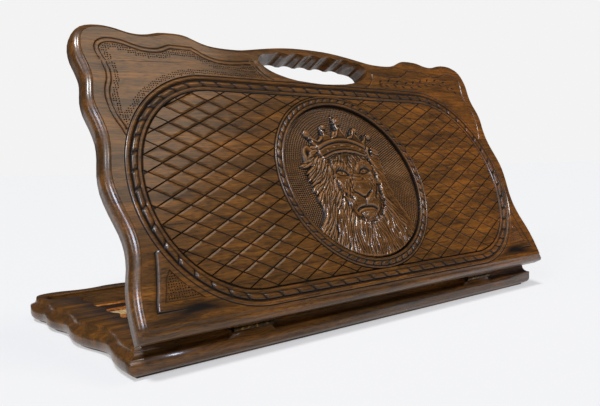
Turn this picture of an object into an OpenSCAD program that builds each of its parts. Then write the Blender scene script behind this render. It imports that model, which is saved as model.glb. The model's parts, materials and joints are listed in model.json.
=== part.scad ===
// Folding backgammon case: two carved wooden trays hinged along one long side.
// Each tray is drawn once in its own flat frame (x along the hinge, y from the hinge to the
// handle, z from the mating face to the carved outer face) and is then put in place.

/* [Case] */
// Length of the case along its hinges
case_length = 600; // [560:10:640]
// Thickness of one tray
tray_thick = 27; // [26:0.5:30]
// Lid angle from closed as the case stands
lid_angle = 63.5; // [0:0.5:180]
// Gap between the mating faces when shut
shut_gap = 0.4; // [0.2:0.1:1]
// How far the hinge axis stands out from the tray walls
axis_proud = 0.4; // [0.3:0.1:1]

/* [Edge moulding] */
// Depth of the hollow beside the mating face
cove_depth = 7; // [4:0.5:8]
// Height of the hollow beside the mating face
cove_height = 9; // [6:0.5:10]
// Inset of the carved face from the wall
ovolo_inset = 8; // [6:0.5:9]
// Height of the round below the carved face
ovolo_height = 7; // [5:0.5:8]
// Height of the small step up to the carved face
step_height = 2; // [1:0.5:2.5]

/* [Inside] */
// Depth of the playing recess
recess_depth = 16; // [14:0.5:16]
// Thickness of the veneered playing panel
panel_thick = 3; // [2:0.5:4]
// Thickness of the inlaid points
inlay_thick = 1; // [0.6:0.1:1.5]
// Radius of the half-round checker trough
trough_radius = 14; // [13.8:0.1:14.5]

/* [Checkers and dice] */
// Diameter of a checker
checker_diameter = 27; // [24:0.5:27]
// Thickness of a checker
checker_thick = 7.5; // [6:0.5:7.5]
// Side of a die
die_side = 11; // [9:0.5:12]

/* [Hinges] */
// Length of each hinge
hinge_length = 46; // [40:1:50]
// Outer diameter of the hinge barrel
barrel_diameter = 6; // [5:0.5:7]
// Diameter of the hinge pin
pin_diameter = 2.5; // [2:0.1:3]

/* [Hidden] */
$fn = 48;
small = 0.01;

// ---- outline of a tray ----
half_length = case_length / 2;
// Half of the outline as [inset from the end, distance from the hinge side], in order from
// the hinge corner, up the wavy end, round the corner lobe and along the top to the handle.
half_outline = [
    [0, 0], [0, 28], [3, 50], [8, 68], [10, 84], [8.5, 100], [3.5, 120], [0, 140],
    [1, 158], [4.5, 175], [6, 190], [4, 206], [0.8, 220], [0.5, 234], [3, 247], [4, 256],
    [2.5, 267], [0, 279], [0, 292], [4, 306], [13, 315.5], [25, 319.5], [38, 320],
    [50, 318], [61, 315], [72, 314], [84, 315.5], [96, 319], [108, 320], [120, 320],
    [130, 318], [141, 313], [153, 309], [168, 307.5], [185, 307.5], [200, 308.5],
    [225, 313], [250, 317], [275, 319.5], [half_length, 320]
];
tray_width = 320;
spline_steps = 2;

// The opening under the handle, as a closed loop about the middle of the tray.
half_grip = [
    [0, 264.5], [38, 267], [60, 272], [74, 277.5], [84, 285], [87, 292], [80, 300],
    [60, 303], [30, 304.3], [0, 304.5]
];

// One point of a Catmull-Rom curve from b to c, with neighbours a and d
function spline(a, b, c, d, t) =
    0.5 * (2 * b + (c - a) * t + (2 * a - 5 * b + 4 * c - d) * t * t
        + (3 * b - a - 3 * c + d) * t * t * t);
// The whole curve through a list of points, with its last point
function curve(points) = let (n = len(points)) [
    for (i = [0 : n - 2])
        for (k = [0 : spline_steps - 1])
            spline(points[max(i - 1, 0)], points[i], points[i + 1],
                points[min(i + 2, n - 1)], k / spline_steps),
    points[n - 1]
];
function reversed(list) = [for (i = [len(list) - 1 : -1 : 0]) list[i]];
function tail(list) = [for (i = [1 : len(list) - 1]) list[i]];
function inner(list) = [for (i = [1 : len(list) - 2]) list[i]];

right_side = [for (p = curve(half_outline)) [half_length - p[0], p[1]]];
outline = concat(right_side, tail(reversed([for (p = right_side) [-p[0], p[1]]])));
grip_side = curve(half_grip);
grip_outline = concat(grip_side, reversed(inner([for (p = grip_side) [-p[0], p[1]]])));

// Finger flutes in the underside of the handle bar, straight through its thickness
flute_pitch = 25.3;
flute_width = 20;
flute_depth = 2.5;
flute_radius = (flute_width * flute_width / 4 + flute_depth * flute_depth)
    / (2 * flute_depth);
flutes_each_way = 2;
// Height of the opening's upper edge before fluting, which falls away to each end
function grip_top(x) = 304.6 - 0.0004 * x * x;

// A closed anticlockwise loop moved inwards by d, with mitred corners
function unit(v) = v / norm(v);
function left_of(v) = [-v[1], v[0]];
function inset(loop, d) = let (n = len(loop)) [
    for (i = [0 : n - 1])
        let (
            before = left_of(unit(loop[i] - loop[(i + n - 1) % n])),
            after = left_of(unit(loop[(i + 1) % n] - loop[i]))
        )
        loop[i] + d * (before + after) / (1 + before * after)
];

// The edge moulding from the mating face to the carved face, as [inset, height]
cove_steps = 4;
ovolo_steps = 4;
edge_profile = concat(
    [for (k = [0 : cove_steps]) let (a = 90 * k / cove_steps)
        [cove_depth * cos(a), cove_height * sin(a)]],
    [for (k = [0 : ovolo_steps]) let (a = 90 * k / ovolo_steps)
        [ovolo_inset * (1 - cos(a)),
            tray_thick - step_height - ovolo_height * (1 - sin(a))]],
    [[ovolo_inset, tray_thick]]
);

// A solid with one ring of points for each [inset, height] of a profile
module moulded_block(loop, profile) {
    n = len(loop);
    rings = len(profile);
    points = [
        for (step = profile) for (p = inset(loop, step[0])) [p[0], p[1], step[1]]
    ];
    sides = [
        for (r = [0 : rings - 2]) for (i = [0 : n - 1])
            let (j = (i + 1) % n)
            [r * n + i, (r + 1) * n + i, (r + 1) * n + j, r * n + j]
    ];
    bottom = [for (i = [0 : n - 1]) i];
    top = [for (i = [n - 1 : -1 : 0]) (rings - 1) * n + i];
    polyhedron(points = points, faces = concat([bottom], sides, [top]), convexity = 10);
}

// ---- inside of a tray ----
recess_end = 48.5;
recess_near = 24;
recess_far = 258;
point_count = 6;
point_pitch = (recess_far - recess_near) / point_count;
bay_land = 2;
bay_radius = 30;
bay_center = 73;
corner_radius = 4;
panel_clearance = 0.1;

function point_y(k) = recess_near + point_pitch * (k + 0.5);

// Plan of the playing recess: a rounded oblong with six shallow round bays at each end
module recess_plan(clear) {
    dx = half_length - recess_end - clear - corner_radius;
    near = recess_near + clear + corner_radius;
    far = recess_far - clear - corner_radius;
    for (x = [-dx, dx]) for (y = [near, far]) translate([x, y]) circle(corner_radius);
    translate([-dx - corner_radius, near])
        square([2 * (dx + corner_radius), far - near]);
    translate([-dx, near - corner_radius])
        square([2 * dx, far - near + 2 * corner_radius]);
    for (side = [-1, 1]) for (k = [0 : point_count - 1])
        translate([side * (half_length - bay_center), point_y(k)]) intersection() {
            circle(bay_radius - clear);
            square([2 * bay_radius, point_pitch - 2 * bay_land], center = true);
        }
}

trough_y = 281;
trough_outer = 15;
trough_inner = 198;
trough_ends = [
    half_length - trough_inner + trough_radius,
    half_length - trough_outer - trough_radius
];

// Half-round trough for one player's checkers
module trough() {
    translate([trough_ends[0], trough_y, 0]) {
        rotate([0, 90, 0]) cylinder(r = trough_radius, h = trough_ends[1] - trough_ends[0]);
        sphere(trough_radius);
    }
    translate([trough_ends[1], trough_y, 0]) sphere(trough_radius);
}

// ---- carved face, plain here ----
medallion_radius = 99;
medallion_depth = 6;
medallion_y = 137;

// ---- hinge ----
hinge_x = half_length - 123;
block_half = 31;
leaf_thick = 1.2;
leaf_reach = 18;
leaf_fit = 0.05;
barrel_radius = barrel_diameter / 2;
barrel_relief = 0.3;
knuckles = 5;
knuckle_pitch = hinge_length / knuckles;
knuckle_gap = 0.15;
pin_radius = pin_diameter / 2;
pin_fit = 0.02;
turning_fit = 0.06;
screw_y = 11;
screw_spacing = 16;
screw_head_radius = 2.4;
screw_shank_radius = 1.2;
screw_length = 12;
screw_fit = 0.05;

// ---- magnets ----
magnet_x = 82;
magnet_y = 270;
magnet_radius = 4;
magnet_thick = 3;
magnet_fit = 0.05;

// The hinge axis in a tray's own frame
module on_axis() {
    translate([0, -axis_proud, -shut_gap / 2]) rotate([0, 90, 0]) children();
}

// Cut for one hinge: room for the barrel and a flush bed for the leaf
module hinge_bed() {
    translate([hinge_x, 0, 0]) {
        on_axis() translate([0, 0, -hinge_length / 2 - barrel_relief])
            cylinder(r = barrel_radius + barrel_relief, h = hinge_length + 2 * barrel_relief);
        translate([-hinge_length / 2 - leaf_fit, -1, -1])
            cube([hinge_length + 2 * leaf_fit, leaf_reach + leaf_fit + 1, leaf_thick + 1]);
        for (k = [-1 : 1])
            translate([k * screw_spacing, screw_y, 0])
                cylinder(r = screw_shank_radius + screw_fit, h = screw_length + 0.5);
    }
}

module magnet_bed() {
    translate([magnet_x, magnet_y, -1])
        cylinder(r = magnet_radius + magnet_fit, h = magnet_thick + 1 + magnet_fit);
}

// Where the cove stops short, in a round, so that the wood stands full behind a hinge
module hinge_block() {
    translate([hinge_x, 0, 0]) difference() {
        translate([-block_half, 0, 0])
            cube([2 * block_half, cove_depth + 1, cove_height]);
        for (side = [-1, 1]) translate([side * block_half, -1, 0])
            rotate([-90, 0, 0]) cylinder(r = cove_height, h = cove_depth + 3);
    }
}

module on_both_sides() {
    children();
    mirror([1, 0, 0]) children();
}

// The handle opening: a long lens with finger flutes along its upper edge
module grip_plan() {
    polygon(grip_outline);
    for (k = [-flutes_each_way : flutes_each_way])
        translate([k * flute_pitch, grip_top(k * flute_pitch)])
            intersection() {
                translate([0, flute_depth - flute_radius]) circle(flute_radius);
                square([flute_width + 1, 4 * flute_depth], center = true);
            }
}

module tray() {
    difference() {
        union() {
            moulded_block(outline, edge_profile);
            on_both_sides() hinge_block();
        }
        translate([0, 0, -1]) linear_extrude(recess_depth + 1) recess_plan(0);
        translate([0, 0, -1]) linear_extrude(tray_thick + 2) grip_plan();
        on_both_sides() trough();
        on_both_sides() hinge_bed();
        on_both_sides() magnet_bed();
        translate([0, medallion_y, tray_thick - medallion_depth])
            cylinder(r = medallion_radius, h = medallion_depth + 1, $fn = 96);
    }
}

// Plain stand-in for the carved lion's head: mane, face and crown as three low tiers
module lion_head() {
    face = tray_thick - medallion_depth - small;
    translate([0, 112, face]) cylinder(r = 66, h = 2.5);
    translate([0, 116, face]) cylinder(r = 42, h = 4);
    translate([0, 172, face]) linear_extrude(4) polygon([
        [-38, -10], [38, -10], [46, 30], [32, 14], [26, 34], [14, 16], [0, 50],
        [-14, 16], [-26, 34], [-32, 14], [-46, 30]
    ]);
}

module panel() {
    top = recess_depth - panel_thick;
    difference() {
        translate([0, 0, top]) linear_extrude(panel_thick - small)
            recess_plan(panel_clearance);
        for (dark = [0, 1]) translate([0, 0, top - 1]) linear_extrude(inlay_thick + 1)
            points_plan(dark, 0);
    }
}

// One point of the board: a round foot in its bay and a long straight taper
point_length = 190;
point_half_width = 12;
foot_radius = 13;
foot_center = 58;
module point_plan(clear) {
    circle(foot_radius - clear);
    polygon([
        [0, -point_half_width + clear], [point_length - 2 * clear, 0],
        [0, point_half_width - clear]
    ]);
}

// The points of one colour, alternating up each end of the tray
module points_plan(dark, clear) {
    for (side = [-1, 1]) for (k = [0 : point_count - 1])
        if ((k + (side > 0 ? 1 : 0)) % 2 == dark)
            translate([side * (half_length - foot_center), point_y(k)])
                mirror([side > 0 ? 1 : 0, 0]) point_plan(clear);
}

module point_inlays(dark) {
    translate([0, 0, recess_depth - panel_thick])
        linear_extrude(inlay_thick - small) points_plan(dark, small);
}

// Knuckles of one leaf: first = 0 for the outer three, 1 for the inner two
module leaf(first) {
    start = -hinge_length / 2;
    bore = pin_radius + (first == 0 ? pin_fit : turning_fit);
    root = barrel_radius + barrel_relief - axis_proud;
    difference() {
        union() {
            translate([start, root, 0])
                cube([hinge_length, leaf_reach - root, leaf_thick]);
            for (k = [first : 2 : knuckles - 1])
                translate([start + k * knuckle_pitch + knuckle_gap / 2, 0, 0]) {
                    on_axis() cylinder(r = barrel_radius, h = knuckle_pitch - knuckle_gap);
                    translate([0, 0, 0])
                        cube([knuckle_pitch - knuckle_gap, root + 1, leaf_thick]);
                }
        }
        on_axis() translate([0, 0, start - 1]) cylinder(r = bore, h = hinge_length + 2);
        for (k = [-1 : 1]) translate([k * screw_spacing, screw_y, -small])
            cylinder(
                r1 = screw_head_radius + screw_fit, r2 = screw_shank_radius + screw_fit,
                h = leaf_thick + 2 * small
            );
    }
}

module screws() {
    for (k = [-1 : 1]) translate([k * screw_spacing, screw_y, 0]) {
        cylinder(r1 = screw_head_radius, r2 = screw_shank_radius, h = leaf_thick);
        cylinder(r = screw_shank_radius, h = screw_length);
    }
}

module pin() {
    on_axis() translate([0, 0, -hinge_length / 2]) cylinder(r = pin_radius, h = hinge_length);
}

module magnets() {
    on_both_sides() translate([magnet_x, magnet_y, 0])
        cylinder(r = magnet_radius, h = magnet_thick);
}

// ---- checkers and dice ----
checker_radius = checker_diameter / 2;
checker_count = 15;
checker_gap = 0.3;
dish_depth = 0.8;
rim_width = 2.5;

// One checker lying flat, with a shallow dish in each face
module checker() {
    rotate_extrude() polygon([
        [0, dish_depth], [checker_radius - rim_width - dish_depth, dish_depth],
        [checker_radius - rim_width, 0], [checker_radius - 0.5, 0], [checker_radius, 0.5],
        [checker_radius, checker_thick - 0.5], [checker_radius - 0.5, checker_thick],
        [checker_radius - rim_width, checker_thick],
        [checker_radius - rim_width - dish_depth, checker_thick - dish_depth],
        [0, checker_thick - dish_depth]
    ]);
}

// A row of checkers on edge in the right trough of the lower tray
row_start = 139;
module checker_row() {
    for (k = [0 : checker_count - 1])
        translate([row_start + k * (checker_thick + checker_gap), trough_y, 0.3])
            rotate([0, 90, 0]) checker();
}

// Stacks of three along the far right point, ready for play
stack_height = 3;
stack_count = checker_count / stack_height;
stack_pitch = checker_diameter + 1;
module checker_stacks() {
    floor = recess_depth - panel_thick;
    for (s = [0 : stack_count - 1]) for (k = [0 : stack_height - 1])
        translate([
            half_length - foot_center - 1 - s * stack_pitch, point_y(point_count - 1),
            floor - checker_gap / 3 - (k + 1) * (checker_thick + checker_gap / 3)
        ])
            checker();
}

// A die with its corners turned off
module die() {
    intersection() {
        cube(die_side, center = true);
        sphere(r = die_side * 0.78);
    }
}

dice_places = [[34, 118, 20], [58, 142, 62]];
module dice_pair() {
    for (p = dice_places)
        translate([p[0], p[1], recess_depth - panel_thick - die_side / 2 - 0.05])
            rotate([0, 0, p[2]]) die();
}

// ---- putting the trays in place ----
// The lid reaches furthest towards the front at the hinge edge of its carved face.
lid_front = -axis_proud + (ovolo_inset + axis_proud) * cos(lid_angle)
    - (tray_thick + shut_gap / 2) * sin(lid_angle);
middle_y = (tray_width + lid_front) / 2;

module in_lower() {
    translate([0, -middle_y, tray_thick]) mirror([0, 0, 1]) children();
}

module in_upper() {
    translate([0, -middle_y - axis_proud, tray_thick + shut_gap / 2])
        rotate([lid_angle, 0, 0])
            translate([0, axis_proud, shut_gap / 2]) children();
}

module at_hinge(side) {
    translate([side * hinge_x, 0, 0]) children();
}

wood = "#5a3a20";
burl = "#7a4a22";
ebony = "#1d1712";
maple = "#d8a75a";
brass = "#6b5a32";
steel = "#9a9a98";

module lower_tray() { color(wood) in_lower() tray(); }
module upper_tray() { color(wood) in_upper() { tray(); lion_head(); } }
module lower_panel() { color(burl) in_lower() panel(); }
module upper_panel() { color(burl) in_upper() panel(); }
module lower_points(dark) { color(dark == 1 ? ebony : maple) in_lower() point_inlays(dark); }
module upper_points(dark) { color(dark == 1 ? ebony : maple) in_upper() point_inlays(dark); }
module lower_leaf(side) { color(brass) in_lower() at_hinge(side) leaf(0); }
module upper_leaf(side) { color(brass) in_upper() at_hinge(side) leaf(1); }
module hinge_pin(side) { color(brass) in_lower() at_hinge(side) pin(); }
module lower_screws(side) { color(brass) in_lower() at_hinge(side) screws(); }
module upper_screws(side) { color(brass) in_upper() at_hinge(side) screws(); }
module lower_magnets() { color(steel) in_lower() magnets(); }
module upper_magnets() { color(steel) in_upper() magnets(); }
module light_checkers() { color(maple) in_lower() checker_row(); }
module dark_checkers() { color(ebony) in_lower() checker_stacks(); }
module dice() { color("ivory") in_lower() dice_pair(); }

lower_tray();
lower_panel();
lower_points(1);  // lower_dark_points
lower_points(0);  // lower_light_points
upper_tray();
upper_panel();
upper_points(1);  // upper_dark_points
upper_points(0);  // upper_light_points
lower_leaf(-1);  // lower_hinge_leaf_left
lower_leaf(1);  // lower_hinge_leaf_right
upper_leaf(-1);  // upper_hinge_leaf_left
upper_leaf(1);  // upper_hinge_leaf_right
hinge_pin(-1);  // hinge_pin_left
hinge_pin(1);  // hinge_pin_right
lower_screws(-1);  // lower_hinge_screws_left
lower_screws(1);  // lower_hinge_screws_right
upper_screws(-1);  // upper_hinge_screws_left
upper_screws(1);  // upper_hinge_screws_right
lower_magnets();
upper_magnets();
light_checkers();
dark_checkers();
dice();
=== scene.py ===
# %% [markdown]
# # A carved folding backgammon case
# The case is two shallow trays of stained beech, hinged along one long side. This lesson starts
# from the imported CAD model, which already has the right size, and carves its plain faces: a
# diamond lattice, a rope border, corner panels and a lion's head in a round medallion.

# %% Load the CAD frame
import json
import math

import bmesh
import bpy
import numpy as np
from mathutils import Matrix, Vector, geometry


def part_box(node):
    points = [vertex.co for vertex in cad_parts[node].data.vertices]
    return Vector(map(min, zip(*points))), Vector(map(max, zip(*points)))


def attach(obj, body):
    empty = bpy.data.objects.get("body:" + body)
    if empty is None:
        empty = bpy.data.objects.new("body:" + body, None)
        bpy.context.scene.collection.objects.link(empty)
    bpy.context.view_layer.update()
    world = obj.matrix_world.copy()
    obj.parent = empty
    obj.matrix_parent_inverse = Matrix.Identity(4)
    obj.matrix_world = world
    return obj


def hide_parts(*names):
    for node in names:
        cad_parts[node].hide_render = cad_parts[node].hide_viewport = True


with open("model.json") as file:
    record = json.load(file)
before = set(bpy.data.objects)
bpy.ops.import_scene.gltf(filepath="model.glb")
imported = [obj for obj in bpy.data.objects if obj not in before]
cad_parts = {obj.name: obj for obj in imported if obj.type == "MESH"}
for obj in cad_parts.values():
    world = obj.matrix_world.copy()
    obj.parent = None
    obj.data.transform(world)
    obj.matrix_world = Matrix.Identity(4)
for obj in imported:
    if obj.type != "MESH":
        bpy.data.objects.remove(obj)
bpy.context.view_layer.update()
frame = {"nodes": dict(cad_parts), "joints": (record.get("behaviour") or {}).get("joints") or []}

MM = 0.001

# %% [markdown]
# ## One flat working position
# Both trays carry the same carving, so every piece is made once, lying flat, in millimetres: x
# along the hinge, y from the hinge side to the handle, z from the mating face up to the carved
# face. Two matrices then put a copy on each tray. The lower tray lies face down, so its matrix
# mirrors z, and a mirrored mesh needs its faces flipped.

# %% Measures and the two placements
hinge = frame["joints"][0]
hinge_axis = Vector(hinge["pos_m"])
lid_angle = math.radians(-hinge["range_deg"][0])
tray_low, tray_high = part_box("lower_tray")
face_z = (tray_high.z - tray_low.z) / MM
axis_proud = tray_low.y - hinge_axis.y
half_gap = hinge_axis.z - tray_high.z
to_lower = (
    Matrix.Translation((0, tray_low.y, tray_high.z))
    @ Matrix.Diagonal((MM, MM, -MM, 1))
)
to_upper = (
    Matrix.Translation(hinge_axis)
    @ Matrix.Rotation(lid_angle, 4, "X")
    @ Matrix.Translation((0, axis_proud, half_gap))
    @ Matrix.Diagonal((MM, MM, MM, 1))
)
placements = {"lower": to_lower, "upper": to_upper}
print(f"tray {face_z:.1f} mm thick, lid at {math.degrees(lid_angle):.1f} degrees")


# %% Placing a finished piece
def add_object(name, mesh, body, material):
    piece = bpy.data.objects.new(name, mesh)
    bpy.context.scene.collection.objects.link(piece)
    mesh.materials.append(material)
    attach(piece, body)
    return piece


def place(name, bm, side, material, smooth_angle=40):
    """A copy of the flat bmesh, put on one tray."""
    mesh = bpy.data.meshes.new(name)
    bm.to_mesh(mesh)
    mesh.transform(placements[side])
    if side == "lower":
        mesh.flip_normals()
    mesh.shade_smooth()
    mesh.set_sharp_from_angle(angle=math.radians(smooth_angle))
    mesh.update()
    return add_object(name, mesh, side + "_half", material)


# %% [markdown]
# ## Finishes
# A finish is built from a few shader nodes. Colours are written as the sRGB hex values that a
# colour picker shows, and one function turns them to the linear values that a shader needs.

# %% Node helpers
def linear(hex_colour):
    channels = [int(hex_colour[i : i + 2], 16) / 255 for i in (1, 3, 5)]
    return [
        c / 12.92 if c <= 0.04045 else ((c + 0.055) / 1.055) ** 2.4 for c in channels
    ] + [1.0]


def add_node(tree, kind, links=None, **settings):
    """A node with its settings; links maps an input's name or number to another node's output."""
    node = tree.nodes.new(kind)
    for key, value in settings.items():
        if key.startswith("in_"):
            name = key[3:].replace("_", " ")
            node.inputs[int(name) if name.isdigit() else name].default_value = value
        else:
            setattr(node, key, value)
    for target, source in (links or {}).items():
        tree.links.new(source, node.inputs[target])
    return node


def set_ramp(node, stops):
    ramp = node.color_ramp
    while len(ramp.elements) > len(stops):
        ramp.elements.remove(ramp.elements[-1])
    while len(ramp.elements) < len(stops):
        ramp.elements.new(1.0)
    for element, (place_on_ramp, colour) in zip(ramp.elements, stops):
        element.position = place_on_ramp
        element.color = linear(colour) if isinstance(colour, str) else (colour,) * 3 + (1,)


def new_material(name, **values):
    material = bpy.data.materials.new(name)
    material.use_nodes = True
    shader = material.node_tree.nodes["Principled BSDF"]
    for key, value in values.items():
        shader.inputs[key.replace("_", " ")].default_value = value
    return material, material.node_tree, shader


def laid_flat(tree, tilt):
    """The piece's own coordinates, turned back so that the tray they belong to lies flat."""
    place_in = add_node(tree, "ShaderNodeTexCoord")
    return add_node(tree, "ShaderNodeMapping", {"Vector": place_in.outputs["Object"]},
                    in_Rotation=(-tilt, 0, 0)).outputs["Vector"]


def roughen(tree, shader, pattern, roughness, bump, depth):
    """Let a pattern vary the roughness, from its lows to its highs, and raise a fine bump."""
    low, high = roughness
    dullness = add_node(tree, "ShaderNodeMapRange", {"Value": pattern}, in_3=low, in_4=high)
    tree.links.new(dullness.outputs["Result"], shader.inputs["Roughness"])
    grain = add_node(tree, "ShaderNodeBump", {"Height": pattern}, in_Strength=bump,
                     in_Distance=depth)
    tree.links.new(grain.outputs["Normal"], shader.inputs["Normal"])


print("node helpers: linear, add_node, set_ramp, new_material, laid_flat, roughen")

# %% [markdown]
# ## Stained beech
# Beech has a fine, even grain: streaks a couple of millimetres apart that run along the board,
# and short dark flecks. The stain darkens it and pools in the cuts of the carving, and the same
# darkening paints the shade that falls in them. How far into a cut a point lies is stored on each
# carved mesh as the attribute "cut", from 0 on the surface to 1 in a groove. High spots that hands
# rub lighter and smoother, with a painted highlight on them too, are a second attribute. A thin
# satin lacquer lies on top, so the shader has a coat. It is thin in the cuts and glossiest where
# the wood is rubbed.
#
# The tone also gets warmer towards the +X end, which is painted warm light falling on that end.
# It is a gain on linear colour, so its values are plain numbers and not a hex colour.

# %% Stained beech
GRAIN_LENGTH = 70 * MM
GRAIN_SPACING = 2.2 * MM
FLECK_SPACING = 0.9 * MM
FLECK_LENGTH = 9 * MM
BOARD_PATCH = 38 * MM
SHEEN_PATCH_WIDTH, SHEEN_PATCH_LENGTH = 8 * MM, 60 * MM
GRAIN_SWAY = 0.012
PAINTED_WARM_LIGHT_START, PAINTED_WARM_LIGHT_FULL = 0.02, 0.24
PAINTED_WARM_LIGHT_GAIN = (1.5, 1.27, 0.9, 1.0)
FULL_STAIN_AND_SHADE = 0.75
LACQUER, LACQUER_IN_CUTS = 0.45, 0.05


def stained_beech(name, tilt):
    material, tree, shader = new_material(
        name, IOR=1.45, Specular_IOR_Level=0.25, Coat_Roughness=0.18, Coat_IOR=1.55
    )
    flat = laid_flat(tree, tilt)
    bend = add_node(tree, "ShaderNodeTexNoise", {"Vector": flat},
                    in_Scale=1 / GRAIN_LENGTH, in_Detail=2.0)
    wavy = add_node(
        tree, "ShaderNodeMix", {4: flat, 5: bend.outputs["Color"]},
        data_type="VECTOR", in_0=GRAIN_SWAY,
    )

    def stretched(spacing, length, **settings):
        mapping = add_node(
            tree, "ShaderNodeMapping", {"Vector": wavy.outputs[1]},
            in_Scale=(1 / length, 1 / spacing, 1 / spacing),
        )
        return add_node(
            tree, "ShaderNodeTexNoise", {"Vector": mapping.outputs["Vector"]}, **settings
        )

    streaks = stretched(GRAIN_SPACING, GRAIN_LENGTH, in_Scale=1.0, in_Detail=5.0,
                        in_Roughness=0.62, in_Distortion=0.35)
    patches = stretched(BOARD_PATCH * 0.45, BOARD_PATCH * 3, in_Scale=1.0, in_Detail=2.0)
    sheen_patches = stretched(SHEEN_PATCH_WIDTH, SHEEN_PATCH_LENGTH, in_Scale=1.0, in_Detail=3.0,
                       in_Distortion=0.4)
    flecks = stretched(FLECK_SPACING, FLECK_LENGTH, in_Scale=1.0, in_Detail=2.0)

    grain_colour = add_node(tree, "ShaderNodeValToRGB", {"Fac": streaks.outputs["Fac"]})
    set_ramp(grain_colour, [
        (0.26, "#39240e"), (0.43, "#553714"), (0.58, "#6c4719"), (0.78, "#8e5f21"),
    ])
    patch_tone = add_node(tree, "ShaderNodeValToRGB", {"Fac": patches.outputs["Fac"]})
    set_ramp(patch_tone, [(0.3, "#9c9790"), (0.5, "#cac4bb"), (0.72, "#fff2df")])
    toned = add_node(
        tree, "ShaderNodeMix",
        {6: grain_colour.outputs["Color"], 7: patch_tone.outputs["Color"]},
        data_type="RGBA", blend_type="MULTIPLY", in_0=0.9,
    )
    # Painted sheen: in long patches along the grain the colour turns orange-gold, as where the
    # wood's sheen catches the light.
    painted_sheen = add_node(tree, "ShaderNodeValToRGB", {"Fac": sheen_patches.outputs["Fac"]})
    set_ramp(painted_sheen, [(0.47, "#000000"), (0.74, "#858585")])
    toned = add_node(
        tree, "ShaderNodeMix", {0: painted_sheen.outputs["Color"], 6: toned.outputs[2]},
        data_type="RGBA",
    )
    toned.inputs[7].default_value = linear("#a2641f")
    fleck_tone = add_node(tree, "ShaderNodeValToRGB", {"Fac": flecks.outputs["Fac"]})
    set_ramp(fleck_tone, [(0.34, "#4c4c4c"), (0.5, "#ffffff")])
    flecked = add_node(
        tree, "ShaderNodeMix",
        {6: toned.outputs[2], 7: fleck_tone.outputs["Color"]},
        data_type="RGBA", blend_type="MULTIPLY", in_0=0.6,
    )
    # Painted warm light: the colour grows warmer towards the +X end.
    along = add_node(tree, "ShaderNodeSeparateXYZ", {0: flat})
    painted_warm_light_share = add_node(
        tree, "ShaderNodeMapRange", {0: along.outputs["X"]},
        in_1=PAINTED_WARM_LIGHT_START, in_2=PAINTED_WARM_LIGHT_FULL, in_4=0.7,
    )
    with_painted_warm_light = add_node(
        tree, "ShaderNodeMix", {0: painted_warm_light_share.outputs[0], 6: flecked.outputs[2]},
        data_type="RGBA", blend_type="MULTIPLY",
    )
    with_painted_warm_light.inputs[7].default_value = PAINTED_WARM_LIGHT_GAIN

    # Wear and painted highlight: high spots are lighter, as hands rub them and as light catches
    # them, and they are glossier.
    wear_and_highlight = add_node(tree, "ShaderNodeAttribute", attribute_name="wear_and_highlight")
    wear_and_highlight_colour = add_node(
        tree, "ShaderNodeMix", {0: wear_and_highlight.outputs["Fac"], 6: with_painted_warm_light.outputs[2]}, data_type="RGBA"
    )
    wear_and_highlight_colour.inputs[7].default_value = linear("#86592a")
    # Stain pooled in the cuts and painted shade there: the deeper into a cut, the nearer to
    # near-black.
    cut = add_node(tree, "ShaderNodeAttribute", attribute_name="cut")
    stain_and_shade_share = add_node(
        tree, "ShaderNodeMapRange", {0: cut.outputs["Fac"]}, in_2=FULL_STAIN_AND_SHADE
    )
    stain_and_shade_colour = add_node(
        tree, "ShaderNodeMix", {0: stain_and_shade_share.outputs[0], 6: wear_and_highlight_colour.outputs[2]}, data_type="RGBA"
    )
    stain_and_shade_colour.inputs[7].default_value = linear("#0e0805")
    tree.links.new(stain_and_shade_colour.outputs[2], shader.inputs["Base Color"])

    lacquer = add_node(
        tree, "ShaderNodeMapRange", {0: stain_and_shade_share.outputs[0]},
        in_3=LACQUER, in_4=LACQUER_IN_CUTS,
    )
    polished = add_node(
        tree, "ShaderNodeMath", {0: lacquer.outputs[0], 1: wear_and_highlight.outputs["Fac"]},
        operation="ADD", use_clamp=True,
    )
    tree.links.new(polished.outputs[0], shader.inputs["Coat Weight"])
    roughen(tree, shader, streaks.outputs["Fac"], (0.5, 0.36), 0.35, 0.25 * MM)
    return material


beech = {
    "upper": stained_beech("stained_beech_lid", lid_angle),
    "lower": stained_beech("stained_beech_base", 0.0),
}
print("beech streaks", round(GRAIN_SPACING / MM, 1), "mm apart")

# %% [markdown]
# ## The tray's shell
# The CAD tray has the edge moulding, recess, troughs and handle. A copy of it, laid flat and with
# its loose triangles merged, keeps all of that. Only its plain carved face and its shallow
# medallion are taken away, and the rims that this leaves are where the carving joins on.
#
# The copy keeps a fault too. At the +X end, some long triangles of the CAD mesh's mating plane
# fold back over others and cover the waves of the rim, which looks too smooth and wide there. A
# mend would take that plane's faces away and fill it again from its rims.

# %% A flat copy of the CAD tray without its carved face
MEDALLION = (0.0, 137.0)
RECESS_RADIUS = 99.0
RECESS_DEPTH = 6.0
SAME = 0.01
GRIP_CENTRE = 285.0


def flat_shell():
    bm = bmesh.new()
    bm.from_mesh(frame["nodes"]["lower_tray"].data)
    bmesh.ops.transform(bm, matrix=to_lower.inverted(), verts=bm.verts)
    bmesh.ops.remove_doubles(bm, verts=bm.verts, dist=SAME)
    bmesh.ops.reverse_faces(bm, faces=bm.faces)

    def carved_away(face):
        if all(v.co.z > face_z - SAME for v in face.verts):
            return True
        return all(
            v.co.z > face_z - RECESS_DEPTH - SAME
            and math.hypot(v.co.x - MEDALLION[0], v.co.y - MEDALLION[1]) < RECESS_RADIUS + 0.5
            for v in face.verts
        )

    faces = [f for f in bm.faces if carved_away(f)]
    bmesh.ops.delete(bm, geom=faces, context="FACES")
    return bm


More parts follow.
